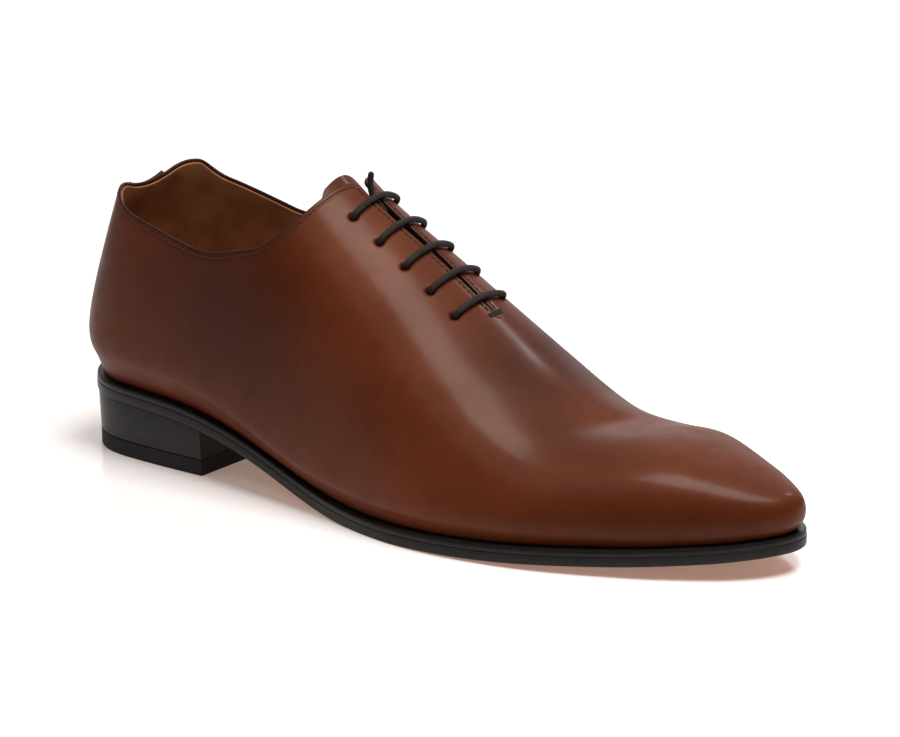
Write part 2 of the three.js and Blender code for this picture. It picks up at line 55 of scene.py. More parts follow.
# ---- camera
cameraView = {
    "azimuth": 34,
    "elevation": 16,
    "distance": 1700,
    "target": (150, 0, 45),
    "focalPixels": 3162,
    "imageWidth": 900,
    "targetPixel": (351.3, 399.7),
    "imageMiddle": (450, 368.5),
    "sensor": 36,
    # the picture frames this one shoe: the same place to stand, turned to this pixel and closer
    "framePixel": (357, 395),
    "zoom": 1.5,
}


def makeCamera(sizes):
    azimuth, elevation = math.radians(sizes["azimuth"]), math.radians(sizes["elevation"])
    back = Vector((
        math.sin(azimuth) * math.cos(elevation),
        -math.cos(azimuth) * math.cos(elevation),
        math.sin(elevation),
    ))
    right = Vector((math.cos(azimuth), math.sin(azimuth), 0))
    up = back.cross(right)

    def offMiddle(pixel):
        return ((pixel[0] - sizes["imageMiddle"][0]) * right
                + (sizes["imageMiddle"][1] - pixel[1]) * up) / sizes["focalPixels"]

    data = bpy.data.cameras.new("photoCamera")
    data.sensor_width = sizes["sensor"]
    data.lens = sizes["zoom"] * sizes["focalPixels"] * sizes["sensor"] / sizes["imageWidth"]
    camera = bpy.data.objects.new("photoCamera", data)
    bpy.context.scene.collection.objects.link(camera)
    target = Vector(toMetres(sizes["target"]))
    camera.location = target + sizes["distance"] * mm * (back - offMiddle(sizes["targetPixel"]))
    look = offMiddle(sizes["framePixel"]) - back
    camera.rotation_euler = look.to_track_quat("-Z", "Y").to_euler()
    bpy.context.scene.camera = camera


makeCamera(cameraView)
print("the camera is set")


# ---- small helpers
def toLinear(hexColour):
    parts = [int(hexColour[i:i + 2], 16) / 255 for i in (1, 3, 5)]
    return tuple([c / 12.92 if c <= 0.04045 else ((c + 0.055) / 1.055) ** 2.4 for c in parts] + [1.0])


def addNode(tree, kind, settings=(), links=()):
    node = tree.nodes.new(kind)
    for name, value in dict(settings).items():
        if isinstance(name, int) or name in node.inputs:
            node.inputs[name].default_value = value
        else:
            setattr(node, name, value)
    for name, source in dict(links).items():
        tree.links.new(source, node.inputs[name])
    return node


def newFinish(name, settings):
    material = bpy.data.materials.new(name)
    material.use_nodes = True
    tree = material.node_tree
    tree.nodes.clear()
    shader = addNode(tree, "ShaderNodeBsdfPrincipled", settings)
    output = addNode(tree, "ShaderNodeOutputMaterial")
    tree.links.new(shader.outputs["BSDF"], output.inputs["Surface"])
    return material, tree, shader


# soft clouds of one size in mm; reach takes a part of their levels, and to says what it becomes
def softClouds(tree, place, size, detail=2.0, reach=(0, 1), to=(0, 1)):
    noise = addNode(tree, "ShaderNodeTexNoise", {"Scale": 1 / (size * mm), "Detail": detail}, {"Vector": place})
    spread = addNode(tree, "ShaderNodeMapRange", {
        "From Min": reach[0], "From Max": reach[1], "To Min": to[0], "To Max": to[1],
    }, {"Value": noise.outputs["Fac"]})
    return spread.outputs["Result"]


# two tones of a material, blended by soft clouds
def twoTone(tree, place, tones, size, detail, reach):
    blend = addNode(tree, "ShaderNodeMix", {
        "data_type": "RGBA", 6: toLinear(tones[0]), 7: toLinear(tones[1]),
    }, {0: softClouds(tree, place, size, detail, reach)})
    return blend.outputs[2]


# ---- the last, as in the part's own source
lastSizes = {
    "soleLength": 300,
    "ballWidth": 100,
    "instepHeight": 110,
    "heelRise": 20.8,
    "toeSpring": 7.8,
    "bottom": 6.2,
    "lowTurn": 48,
    "girthTurns": (0, 34, 64, 90),
}
sectionColumns = ("at", "pitch", "spring", "ledge", "footOut", "footIn", "wideOut", "wideIn",
                  "swell", "rise", "lean", "fullOut", "fullIn")
sections = [dict(zip(sectionColumns, row)) for row in (
    (0.110, 1.000, 0.000, 0.85, 0.295, 0.290, 0.340, 0.320, 0.220, 1.175, 0.000, 1.75, 1.90),
    (0.205, 0.885, 0.000, 0.80, 0.315, 0.280, 0.365, 0.325, 0.210, 1.136, 0.000, 1.85, 2.00),
    (0.300, 0.520, 0.000, 0.60, 0.335, 0.240, 0.400, 0.325, 0.190, 1.045, 0.010, 2.10, 2.10),
    (0.385, 0.145, 0.000, 0.70, 0.375, 0.230, 0.440, 0.330, 0.170, 0.916, 0.010, 2.15, 2.15),
    (0.475, 0.000, 0.000, 0.90, 0.460, 0.280, 0.495, 0.360, 0.145, 0.782, 0.015, 2.05, 2.15),
    (0.560, 0.000, 0.000, 1.00, 0.520, 0.350, 0.540, 0.400, 0.125, 0.622, 0.020, 2.00, 2.15),
    (0.640, 0.000, 0.070, 1.00, 0.525, 0.400, 0.540, 0.435, 0.110, 0.461, 0.025, 1.95, 2.05),
    (0.710, 0.000, 0.175, 1.00, 0.495, 0.415, 0.510, 0.445, 0.100, 0.350, 0.030, 1.95, 1.75),
    (0.770, 0.000, 0.313, 1.00, 0.445, 0.405, 0.460, 0.425, 0.090, 0.300, 0.030, 2.05, 1.85),
    (0.830, 0.000, 0.451, 0.95, 0.375, 0.365, 0.390, 0.385, 0.086, 0.281, 0.030, 2.15, 2.15),
    (0.880, 0.000, 0.600, 0.90, 0.305, 0.305, 0.320, 0.320, 0.082, 0.248, 0.030, 2.20, 2.20),
    (0.930, 0.000, 0.763, 0.85, 0.215, 0.220, 0.230, 0.235, 0.073, 0.200, 0.030, 2.20, 2.20),
)]
heelEnd = {
    "pitch": 1.07, "spring": 0, "ledge": 0.45, "along": 0.93, "across": 0.93, "turns": (0, 28, 58),
    "profile": ((0.0060, 0), (-0.0030, 0.075), (-0.0075, 0.21), (0.0400, 0.56), (0.1000, 0.90),
                (0.1600, 1.22)),
}
toeEnd = {
    "pitch": 0, "spring": 1, "ledge": 0.75, "along": 2, "across": 1, "turns": (0, 25, 52),
    "profile": ((0.9900, 0), (0.9965, 0.023), (1.0000, 0.055), (0.9980, 0.095), (0.9820, 0.130),
                (0.9530, 0.160)),
}
ridgeGirth = 5
facingTop = 6
throatEnd = 8.15
slitWidth = 4
slitPower = 0.7
rim = ((0, 3.20), (1, 3.15), (2, 2.98), (3, 2.78), (4, 2.72), (5, 2.96), (5.5, 3.36), (5.7, 3.79),
       (5.8, 4.21), (5.9, 4.75), (6.05, 5.05))


# second derivatives of the natural spline through points that lie one step apart
def bendMatrix(count):
    system = np.eye(count)
    change = np.zeros((count, count))
    for i in range(1, count - 1):
        system[i, i - 1:i + 2] = 1, 4, 1
        change[i, i - 1:i + 2] = 6, -12, 6
    return np.linalg.inv(system) @ change


def splineThrough(rows):
    rows = np.asarray(rows, float)
    bends = bendMatrix(len(rows)) @ rows

    def at(place):
        place = np.clip(np.asarray(place, float), 0, len(rows) - 1)
        i = np.minimum(place.astype(int), len(rows) - 2)
        b = (place - i)[..., None]
        a = 1 - b
        return rows[i] * a + rows[i + 1] * b + ((a ** 3 - a) * bends[i] + (b ** 3 - b) * bends[i + 1]) / 6
    return at


def bottomHeight(end):
    return lastSizes["bottom"] + lastSizes["heelRise"] * end["pitch"] + lastSizes["toeSpring"] * end["spring"]


def sectionRows(section, side):
    name = "Out" if side == outer else "In"
    x = section["at"] * lastSizes["soleLength"]
    z = bottomHeight(section)
    foot = section["foot" + name] * lastSizes["ballWidth"]
    wide = section["wide" + name] * lastSizes["ballWidth"]
    full = section["full" + name]
    lean = section["lean"] * lastSizes["ballWidth"]
    swell = section["swell"] * lastSizes["instepHeight"]
    ridge = section["rise"] * lastSizes["instepHeight"]
    turn = math.radians(lastSizes["lowTurn"])
    rows = [(x, side * foot, z),
            (x, side * (foot + (wide - foot) * math.sin(turn)), z + swell * (1 - math.cos(turn)))]
    for angle in lastSizes["girthTurns"]:
        out = max(math.cos(math.radians(angle)), 0) ** (2 / full)
        high = math.sin(math.radians(angle)) ** (2 / full)
        rows.append((x, lean + (side * wide - lean) * out, z + swell + (ridge - swell) * high))
    return rows


def endStation(end, section, angle):
    turn = math.radians(angle)
    toSection = math.sin(turn) ** 2
    middle = section["lean"] * lastSizes["ballWidth"]
    rows = {}
    for side in (outer, inner):
        rows[side] = []
        for (x, y, z), (at, rise) in zip(sectionRows(section, side), end["profile"]):
            tipX = at * lastSizes["soleLength"]
            tipZ = bottomHeight(end) + rise * lastSizes["instepHeight"]
            rows[side].append((x + (tipX - x) * math.cos(turn) ** end["along"],
                               middle + (y - middle) * math.sin(turn) ** end["across"],
                               tipZ + (z - tipZ) * toSection))
    return {"ledge": end["ledge"] + (section["ledge"] - end["ledge"]) * toSection, "rows": rows}


stations = [endStation(heelEnd, sections[0], angle) for angle in heelEnd["turns"]]
stations += [{"ledge": s["ledge"], "rows": {side: sectionRows(s, side) for side in (outer, inner)}}
             for s in sections]
stations += [endStation(toeEnd, sections[-1], angle) for angle in toeEnd["turns"]][::-1]
toeStation = len(stations) - 1

walkOverlap = 4
outerWalk = [np.ravel(station["rows"][outer]) for station in stations]
innerWalk = [np.ravel(station["rows"][inner]) for station in stations]
walk = splineThrough(innerWalk[-1 - walkOverlap:-1] + outerWalk[::-1] + innerWalk[1:]
                     + outerWalk[-1 - walkOverlap:-1][::-1])
heelOnWalk = walkOverlap + toeStation
ledgeShare = splineThrough([[station["ledge"]] for station in stations])
ringBends = bendMatrix(2 * ridgeGirth + 1)


# points of the last: a list of stations, and for each its own list of girths
def lastPoints(side, at, girths):
    at = np.asarray(at, float)
    near = walk(heelOnWalk - at).reshape(-1, 6, 3)
    far = walk(heelOnWalk + at).reshape(-1, 6, 3)
    ring = np.concatenate([near, far[:, 4::-1]], axis=1)
    bends = ringBends @ ring
    place = girths if side == outer else 2 * ridgeGirth - np.asarray(girths, float)
    i = np.clip(np.floor(place).astype(int), 0, 2 * ridgeGirth - 1)
    b = (place - i)[..., None]
    a = 1 - b
    n = np.arange(len(at))[:, None]
    return (ring[n, i] * a + ring[n, i + 1] * b
            + ((a ** 3 - a) * bends[n, i] + (b ** 3 - b) * bends[n, i + 1]) / 6)


def lastNormals(side, at, girths):
    reach = 0.02
    at, girths = np.asarray(at, float), np.asarray(girths, float)
    along = lastPoints(side, at + reach, girths) - lastPoints(side, at - reach, girths)
    over = lastPoints(side, at, girths + reach) - lastPoints(side, at, girths - reach)
    normals = np.cross(along, over) * -side
    lengths = np.linalg.norm(normals, axis=-1, keepdims=True)
    unclear = lengths < 1e-9
    normals = normals / np.where(unclear, 1, lengths)
    # on the ridge at the very ends both sides meet in one point, so the normal is read just below
    return np.where(unclear, lastNormals(side, at, girths - 0.06), normals) if unclear.any() else normals


# one point that stands off the last by a height
def offLast(side, at, girth, height):
    point = lastPoints(side, [at], [[girth]])[0, 0]
    return point + lastNormals(side, [at], [[girth]])[0, 0] * height


featherStations = np.linspace(0, toeStation, 1200)
feather = walk(heelOnWalk - featherStations)


def lastBottom(x):
    return np.interp(x, feather[:, 0], feather[:, 2])


def rimGirth(t):
    slopes = [(g1 - g0) / (s1 - s0) for (s0, g0), (s1, g1) in zip(rim, rim[1:])]
    bends = [0] + [2 / (1 / a + 1 / b) if a * b > 0 else 0 for a, b in zip(slopes, slopes[1:])] + [0]
    i = max(k for k in range(len(rim) - 1) if rim[k][0] <= t or k == 0)
    width = rim[i + 1][0] - rim[i][0]
    s = min((t - rim[i][0]) / width, 1)
    return (rim[i][1] * (1 + 2 * s) * (1 - s) ** 2 + rim[i + 1][1] * s * s * (3 - 2 * s)
            + width * (bends[i] * s * (1 - s) ** 2 - bends[i + 1] * s * s * (1 - s)))


def topGirth(t):
    near = 0.2
    ridge, under = lastPoints(outer, [t], [[ridgeGirth, ridgeGirth - near]])[0]
    perGirth = np.linalg.norm(ridge - under) / near
    down = min(max((t - facingTop) / (throatEnd - facingTop), 0), 1)
    edge = ridgeGirth - slitWidth / 2 * (1 - down) ** slitPower / perGirth
    return min(rimGirth(t), edge) if t <= facingTop else edge


# ---- meshes
def makePiece(name, points, faces, material, layers=(), uv=None, flip=False):
    mesh = bpy.data.meshes.new(name)
    mesh.from_pydata(toMetres(points).tolist(), [], [tuple(f) for f in faces])
    for layer, values in dict(layers).items():
        attribute = mesh.attributes.new(layer, "FLOAT", "POINT")
        attribute.data.foreach_set("value", np.asarray(values, np.float32))
    if uv is not None:
        uvs = mesh.uv_layers.new(name="wayAlong")
        loops = np.empty(len(mesh.loops), np.int32)
        mesh.loops.foreach_get("vertex_index", loops)
        uvs.data.foreach_set("uv", np.asarray(uv, np.float32)[loops].ravel())
    work = bmesh.new()
    work.from_mesh(mesh)
    bmesh.ops.remove_doubles(work, verts=work.verts, dist=0.03 * mm)
    bmesh.ops.dissolve_degenerate(work, edges=work.edges, dist=0.002 * mm)
    bmesh.ops.recalc_face_normals(work, faces=work.faces)
    if work.calc_volume(signed=True) < 0:
        bmesh.ops.reverse_faces(work, faces=work.faces)
    work.to_mesh(mesh)
    work.free()
    mesh.polygons.foreach_set("use_smooth", [True] * len(mesh.polygons))
    mesh.materials.append(material)
    piece = bpy.data.objects.new(name, mesh)
    bpy.context.scene.collection.objects.link(piece)
    return piece


# keeps shading crisp at corners sharper than the angle
def sharpenEdges(piece, angle):
    work = bmesh.new()
    work.from_mesh(piece.data)
    for edge in work.edges:
        edge.smooth = edge.calc_face_angle(0) < math.radians(angle)
    work.to_mesh(piece.data)
    work.free()
    return piece


def settle(piece, slot, *nodes):
    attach(piece, "root")
    if nodes:
        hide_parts(*nodes)
    return piece


# a closed walk round the shoe in sections of equal count; skip leaves out strips of facets
def ringFaces(sides, rows, skip=()):
    faces = []
    start = 0
    for side in sides:
        columns = side
        c, k = np.meshgrid(np.arange(columns - 1), np.arange(rows), indexing="ij")
        keep = np.ones(c.shape, bool)
        for column, strips in skip:
            keep &= ~((c >= column) & np.isin(k, strips))
        c, k = c[keep], k[keep]
        after = (k + 1) % rows
        faces.append(np.stack([start + c * rows + k, start + (c + 1) * rows + k,
                               start + (c + 1) * rows + after, start + c * rows + after], 1))
        start += columns * rows
    return np.concatenate(faces)


# ---- polished calf, dyed in layers and waxed by hand: deep brown clouds under a thin clear shine
calf = {
    "mid": "#59250f",
    "deep": "#320f05",
    "bright": "#6b3119",
    "edge": "#150904",
    "shineTint": "#ffc8a8",
    "cloud": 55,
    "mottle": 6,
    "grain": 0.7,
}


def calfFinish(name, colours, coat=0.1):
    material, tree, shader = newFinish(name, {
        "IOR": 1.5, "Specular IOR Level": 0.22, "Specular Tint": toLinear(colours["shineTint"]),
        "Coat Weight": coat, "Coat Roughness": 0.2, "Coat IOR": 1.5})
    place = addNode(tree, "ShaderNodeTexCoord").outputs["Object"]
    colour = twoTone(tree, place, (colours["mid"], colours["bright"]), colours["cloud"], 2, (0.38, 0.66))
    # small mottles, then the painted shade, then the edge layer (burnished edges, the dark back seam and the painted
    # shade in the punched holes), each lead to a darker dye
    mottle = softClouds(tree, place, colours["mottle"], 3, (0.4, 0.66), (0, 0.16))
    shade = addNode(tree, "ShaderNodeAttribute", {"attribute_name": "shade"}).outputs["Fac"]
    edge = addNode(tree, "ShaderNodeAttribute", {"attribute_name": "edge"}).outputs["Fac"]
    for factor, dye in ((mottle, "deep"), (shade, "deep"), (edge, "edge")):
        colour = addNode(tree, "ShaderNodeMix", {"data_type": "RGBA", 7: toLinear(colours[dye])},
                         {0: factor, 6: colour}).outputs[2]
    tree.links.new(colour, shader.inputs["Base Color"])
    tree.links.new(softClouds(tree, place, colours["mottle"] * 2, 3, (0.3, 0.7), (0.46, 0.56)),
                   shader.inputs["Roughness"])
    # box calf's fine pores, about 0.2 mm apart on the hide, drawn coarser so that they show
    pores = addNode(tree, "ShaderNodeTexVoronoi", {"Scale": 1 / (colours["grain"] * mm)}, {"Vector": place})
    bump = addNode(tree, "ShaderNodeBump", {"Strength": 0.05, "Distance": 0.1 * mm},
                   {"Height": pores.outputs["Distance"]})
    waves = addNode(tree, "ShaderNodeBump", {"Strength": 0.12, "Distance": 0.5 * mm},
                    {"Height": softClouds(tree, place, 9), "Normal": bump.outputs["Normal"]})
    tree.links.new(waves.outputs["Normal"], shader.inputs["Normal"])
    return material


calfLeather = calfFinish("polishedCalf", calf)

# ---- vegetable-tanned lining: matt tan, with the hide's soft mottling
liningTones = ("#a36c3f", "#7c4b29")
liningLeather, tree, shader = newFinish("vegTanLining", {"Roughness": 0.62, "IOR": 1.5})
place = addNode(tree, "ShaderNodeTexCoord").outputs["Object"]
tree.links.new(twoTone(tree, place, liningTones, 14, 4, (0.35, 0.7)), shader.inputs["Base Color"])
bump = addNode(tree, "ShaderNodeBump", {"Strength": 0.2, "Distance": 0.1 * mm},
               {"Height": softClouds(tree, place, 0.8, 3)})
tree.links.new(bump.outputs["Normal"], shader.inputs["Normal"])

# ---- sole edge: leather fibres inked black and ironed with hot wax, a soft dark gloss
edgeInk = ("#100d0c", "#1c1715")
blackEdge, tree, shader = newFinish("waxedBlackEdge", {
    "Roughness": 0.42, "IOR": 1.5, "Specular IOR Level": 0.22, "Coat Weight": 0.08, "Coat Roughness": 0.2})
place = addNode(tree, "ShaderNodeTexCoord").outputs["Object"]
layers = addNode(tree, "ShaderNodeMapping", {"Scale": (1, 1, 6)}, {"Vector": place}).outputs["Vector"]
tree.links.new(twoTone(tree, layers, edgeInk, 5, 3, (0.4, 0.75)), shader.inputs["Base Color"])
bump = addNode(tree, "ShaderNodeBump", {"Strength": 0.25, "Distance": 0.1 * mm},
               {"Height": softClouds(tree, layers, 3, 3)})
tree.links.new(bump.outputs["Normal"], shader.inputs["Normal"])

# ---- sole bottom: oak-bark tan, buffed, with faint fibres
soleTones = ("#a45a2a", "#8a491c")
soleBottom, tree, shader = newFinish("buffedSoleLeather", {"Roughness": 0.5, "IOR": 1.5})
place = addNode(tree, "ShaderNodeTexCoord").outputs["Object"]
fibres = addNode(tree, "ShaderNodeMapping", {"Scale": (0.3, 1, 1)}, {"Vector": place}).outputs["Vector"]
tree.links.new(twoTone(tree, fibres, soleTones, 3, 4, (0.35, 0.7)), shader.inputs["Base Color"])

# ---- top lift: moulded black rubber, matt
rubberTones = ("#121011", "#1b1716")
liftRubber, tree, shader = newFinish("mouldedRubber", {"Roughness": 0.7, "IOR": 1.5, "Specular IOR Level": 0.35})
place = addNode(tree, "ShaderNodeTexCoord").outputs["Object"]
tree.links.new(twoTone(tree, place, rubberTones, 2, 3, (0.35, 0.7)), shader.inputs["Base Color"])

# ---- waxed cotton cord: braided, almost black brown with a dull shine
laceTones = ("#1c130f", "#3f2d24")
waxedCotton, tree, shader = newFinish("waxedCottonCord", {
    "Roughness": 0.6, "IOR": 1.5, "Specular IOR Level": 0.22, "Sheen Weight": 0.05})
way = addNode(tree, "ShaderNodeUVMap", {"uv_map": "wayAlong"}).outputs["UV"]
strands = []
for turn in (1, -1):
    slanted = addNode(tree, "ShaderNodeMapping", {"Scale": (1.1, 8, 1), "Rotation": (0, 0, turn * 0.7)},
                      {"Vector": way}).outputs["Vector"]
    strands.append(addNode(tree, "ShaderNodeTexWave", {"Scale": 0.5}, {"Vector": slanted}).outputs["Fac"])
weave = addNode(tree, "ShaderNodeMath", {"operation": "MULTIPLY"}, {0: strands[0], 1: strands[1]}).outputs[0]
braid = addNode(tree, "ShaderNodeMix", {
    "data_type": "RGBA", 6: toLinear(laceTones[0]), 7: toLinear(laceTones[1])}, {0: weave})
tree.links.new(braid.outputs[2], shader.inputs["Base Color"])
bump = addNode(tree, "ShaderNodeBump", {"Strength": 0.8, "Distance": 0.25 * mm}, {"Height": weave})
tree.links.new(bump.outputs["Normal"], shader.inputs["Normal"])

# ---- bonded nylon sewing thread: dark, faintly shiny
threadTones = ("#1a0e09", "#2c1910")
threadNylon, tree, shader = newFinish("bondedNylonThread", {"Roughness": 0.45, "IOR": 1.53})
place = addNode(tree, "ShaderNodeTexCoord").outputs["Object"]
tree.links.new(twoTone(tree, place, threadTones, 0.6, 1, (0.3, 0.7)), shader.inputs["Base Color"])
print("the finishes are mixed")


# ---- lace: one length through the holes, and its free end
lacing = {
    "radius": 1.15,
    "clearance": 0.45,
    "wall": 2,
    "holes": (6.21, 6.64, 7.07, 7.5, 7.93),
    "holeGirth": 4.31,
    "holeRadius": 1.5,
    "crossings": (1, 3, 4, 2, 0),
    "startGirth": 0.12,
    "endStations": 0.18,
    "passGirth": 0.17,
    "sides": 14,
    "step": 0.45,
}
bendRadius = lacing["radius"] + lacing["clearance"]
runDepth = lacing["wall"] + bendRadius


def bendPoints(side, t, level, rise, after):
    axis = offLast(side, t, lacing["holeGirth"], level)
    normal = lastNormals(side, [t], [[lacing["holeGirth"]]])[0, 0]
    along = after - axis
    along -= normal * along.dot(normal)
    along /= np.linalg.norm(along)
    return [axis + along * bendRadius * (1 - math.cos(math.radians(angle)))
            + normal * rise * bendRadius * math.sin(math.radians(angle)) for angle in (0, 30, 60, 90)]


def barPoints(side, t):
    reach = ridgeGirth - lacing["holeGirth"]
    middle = [offLast(side, t, ridgeGirth - share * reach, bendRadius) for share in (0.6, 0.3, 0)]
    middle += [offLast(-side, t, ridgeGirth - share * reach, bendRadius) for share in (0.3, 0.6)]
    return (bendPoints(side, t, 0, 1, middle[0]) + middle + bendPoints(-side, t, 0, 1, middle[-1])[::-1])


def runPoints(side, start, end, passing):
    middle = [offLast(side, start + (end - start) * share,
                      lacing["holeGirth"] + passing * (1 - abs(share - 0.5)), -runDepth)
              for share in (0.3, 0.5, 0.7)]
    return (bendPoints(side, start, -lacing["wall"], -1, middle[0]) + middle
            + bendPoints(side, end, -lacing["wall"], -1, middle[-1])[::-1])


def laceRoute():
    holes, side = lacing["holes"], inner
    first = holes[lacing["crossings"][0]]
    start = offLast(inner, first, lacing["holeGirth"] + lacing["startGirth"], -runDepth)
    points = [start] + bendPoints(inner, first, -lacing["wall"], -1, start)[::-1]
    for i, hole in enumerate(lacing["crossings"]):
        points += barPoints(side, holes[hole])
        side = -side
        if i < len(lacing["crossings"]) - 1:
            onward = lacing["crossings"][i + 1]
            passing = 0 if abs(onward - hole) == 1 else lacing["passGirth"] * (1 if i == 0 else -1)
            points += runPoints(side, holes[hole], holes[onward], passing)
    last = holes[lacing["crossings"][-1]]
    hidden = offLast(side, last + lacing["endStations"], lacing["holeGirth"], -runDepth)
    return points + bendPoints(side, last, -lacing["wall"], -1, hidden) + [hidden]


# centripetal curve through points, then read at even steps
def smoothWay(points, step):
    points = np.asarray(points, float)
    keep = np.r_[True, np.linalg.norm(np.diff(points, axis=0), axis=1) > 0.01]
    points = points[keep]
    ends = np.concatenate([[2 * points[0] - points[1]], points, [2 * points[-1] - points[-2]]])
    fine = []
    for p0, p1, p2, p3 in zip(ends, ends[1:], ends[2:], ends[3:]):
        t0 = 0
        t1 = t0 + np.linalg.norm(p1 - p0) ** 0.5
        t2 = t1 + np.linalg.norm(p2 - p1) ** 0.5
        t3 = t2 + np.linalg.norm(p3 - p2) ** 0.5
        for t in np.linspace(t1, t2, 12, endpoint=False):
            a1 = (t1 - t) / (t1 - t0) * p0 + (t - t0) / (t1 - t0) * p1
            a2 = (t2 - t) / (t2 - t1) * p1 + (t - t1) / (t2 - t1) * p2
            a3 = (t3 - t) / (t3 - t2) * p2 + (t - t2) / (t3 - t2) * p3
            b1 = (t2 - t) / (t2 - t0) * a1 + (t - t0) / (t2 - t0) * a2
            b2 = (t3 - t) / (t3 - t1) * a2 + (t - t1) / (t3 - t1) * a3
            fine.append((t2 - t) / (t2 - t1) * b1 + (t - t1) / (t2 - t1) * b2)
    fine = np.array(fine + [points[-1]])
    far = np.r_[0, np.cumsum(np.linalg.norm(np.diff(fine, axis=0), axis=1))]
    even = np.linspace(0, far[-1], max(int(far[-1] / step), 8) + 1)
    return np.stack([np.interp(even, far, fine[:, k]) for k in range(3)], 1)


# round cord along a way, its ends domed
def makeCordMesh(name, way, radius, sides, material):
    tangents = np.gradient(way, axis=0)
    tangents /= np.linalg.norm(tangents, axis=1, keepdims=True)
    across = np.cross(tangents[0], [0.3, 0.5, 0.8])
    rings, uvs = [], []
    far = np.r_[0, np.cumsum(np.linalg.norm(np.diff(way, axis=0), axis=1))]
    angles = np.linspace(0, 2 * math.pi, sides, endpoint=False)
    for i, (point, tangent) in enumerate(zip(way, tangents)):
        across = across - tangent * across.dot(tangent)
        across /= np.linalg.norm(across)
        other = np.cross(tangent, across)
        share = 1.0
        if i in (0, len(way) - 1):
            share = 0.55
        elif i in (1, len(way) - 2):
            share = 0.9
        circle = (np.cos(angles)[:, None] * across + np.sin(angles)[:, None] * other) * radius * share
        rings.append(point + circle)
        uvs.append(np.stack([np.full(sides, far[i]), angles / (2 * math.pi)], 1))
    points = np.concatenate(rings)
    faces = ringFaces([len(way)], sides).tolist()
    faces += [list(range(sides))[::-1], list(range(len(points) - sides, len(points)))]
    return makePiece(name, points, faces, material, uv=np.concatenate(uvs))


laceWay = smoothWay(laceRoute(), lacing["step"])
laceCord = makeCordMesh("laceCord", laceWay, lacing["radius"], lacing["sides"], waxedCotton)
settle(laceCord, "lace_cotton", "lace")

freeEnd = [
    (6.635, 4.46, -runDepth), (6.625, 4.62, -runDepth), (6.6, 4.78, -runDepth), (6.56, 4.9, -runDepth),
    (6.5, 5, -3.5), (6.43, 5, -3), (6.35, 5, -2.1), (6.28, 5, -1.35), (6.21, 5, -1.2), (6.15, 5, -0.7),
    (6.09, 5, 0.5), (6.04, 5, 2.2), (6, 5, 4.2), (5.97, 5, 6),
]
endWay = smoothWay([offLast(inner, *step) for step in freeEnd], lacing["step"])
laceEnd = makeCordMesh("laceFreeEnd", endWay, lacing["radius"], lacing["sides"], waxedCotton)
settle(laceEnd, "lace_cotton", "lace_end")


# ---- upper: the calf shell with its folded edge, and the lining inside it
upperSizes = {
    "calfThickness": 1.2,
    "liningGap": 0.05,
    "liningInset": 1.1,
    "wall": 2,
    "margin": 9,
    "stitchInset": 2.0,
    "stations": ((3, 44), (5.3, 46), (6.1, 56), (throatEnd, 100), (9, 26), (14, 66), (toeStation, 40)),
    "lowRows": 46,
    "highRows": 36,
    "highShare": 0.74,
}

shoeStations = [0.0]
for end, count in upperSizes["stations"]:
    shoeStations += list(np.linspace(shoeStations[-1], end, count + 1)[1:])
shoeStations = np.array(shoeStations)
throatColumn = int(np.argmin(np.abs(shoeStations - throatEnd)))
tops = np.array([topGirth(t) for t in shoeStations])
rimLines = {side: lastPoints(side, shoeStations, tops[:, None])[:, 0] for side in (outer, inner)}


# how squarely the girth line meets the edge, 1 where at right angles
def squareness(side):
    down = lastPoints(side, shoeStations, tops[:, None] - 0.05)[:, 0] - rimLines[side]
    down /= np.linalg.norm(down, axis=1, keepdims=True)
    along = np.gradient(rimLines[side], axis=0)
    along /= np.linalg.norm(along, axis=1, keepdims=True)
    return np.clip(np.linalg.norm(np.cross(down, along), axis=1), 0.35, 1)


def perGirth(side):
    near = 0.1
    under = lastPoints(side, shoeStations, tops[:, None] - near)[:, 0]
    return np.linalg.norm(rimLines[side] - under, axis=1) / near


def distanceTo(points, line):
    flat = points.reshape(-1, 3)
    best = np.full(len(flat), 1e9)
    for start in range(0, len(flat), 4000):
        part = flat[start:start + 4000]
        best[start:start + 4000] = np.sqrt(
            ((part[:, None] - line[None]) ** 2).sum(-1).min(1))
    return best.reshape(points.shape[:-1])


def smoothStep(value, low, high):
    s = np.clip((value - low) / (high - low), 0, 1)
    return s * s * (3 - 2 * s)


# soft hollows and swells that the last leaves in the leather: middle (x, y), direction in degrees,
# and length, width and depth in mm; a swell has a depth below zero
creases = [
    {"at": (229, 3), "turn": 58, "long": 24, "wide": 7.5, "deep": 1.3},
    {"at": (244, -4), "turn": 62, "long": 22, "wide": 9, "deep": -0.55},
    {"at": (196, -30), "turn": 35, "long": 20, "wide": 8, "deep": 0.35},
]


def creaseHeights(points):
    height = np.zeros(points.shape[:-1])
    for crease in creases:
        turn = math.radians(crease["turn"])
        x, y = points[..., 0] - crease["at"][0], points[..., 1] - crease["at"][1]
        along = x * math.cos(turn) + y * math.sin(turn)
        across = -x * math.sin(turn) + y * math.cos(turn)
        height -= crease["deep"] * np.exp(-(along / crease["long"]) ** 2 - (across / crease["wide"]) ** 2)
    return height


# painted shade: soft spots where the calf's colour is darkened to stand for shade; middle and reach in mm, the same
# on both sides
paintedShadeSpots = [
    {"at": (78, 35, 66), "reach": (42, 60, 36), "dark": 0.75},
    {"at": (116, 45, 34), "reach": (44, 40, 24), "dark": 0.35},
    {"at": (192, 10, 58), "reach": (22, 19, 15), "dark": 0.65},
    {"at": (210, 28, 42), "reach": (24, 26, 18), "dark": 0.5},
    {"at": (264, 24, 18), "reach": (38, 30, 9), "dark": 0.5},
]


# adds up the painted shade spots at each point, at most 1
def paintedShadeAt(points):
    shade = np.zeros(points.shape[:-1])
    for spot in paintedShadeSpots:
        away = (points * [1, 0, 1] + [0, 1, 0] * np.abs(points) - spot["at"]) / spot["reach"]
        shade += spot["dark"] * np.exp(-(away ** 2).sum(-1))
    return np.clip(shade, 0, 1)


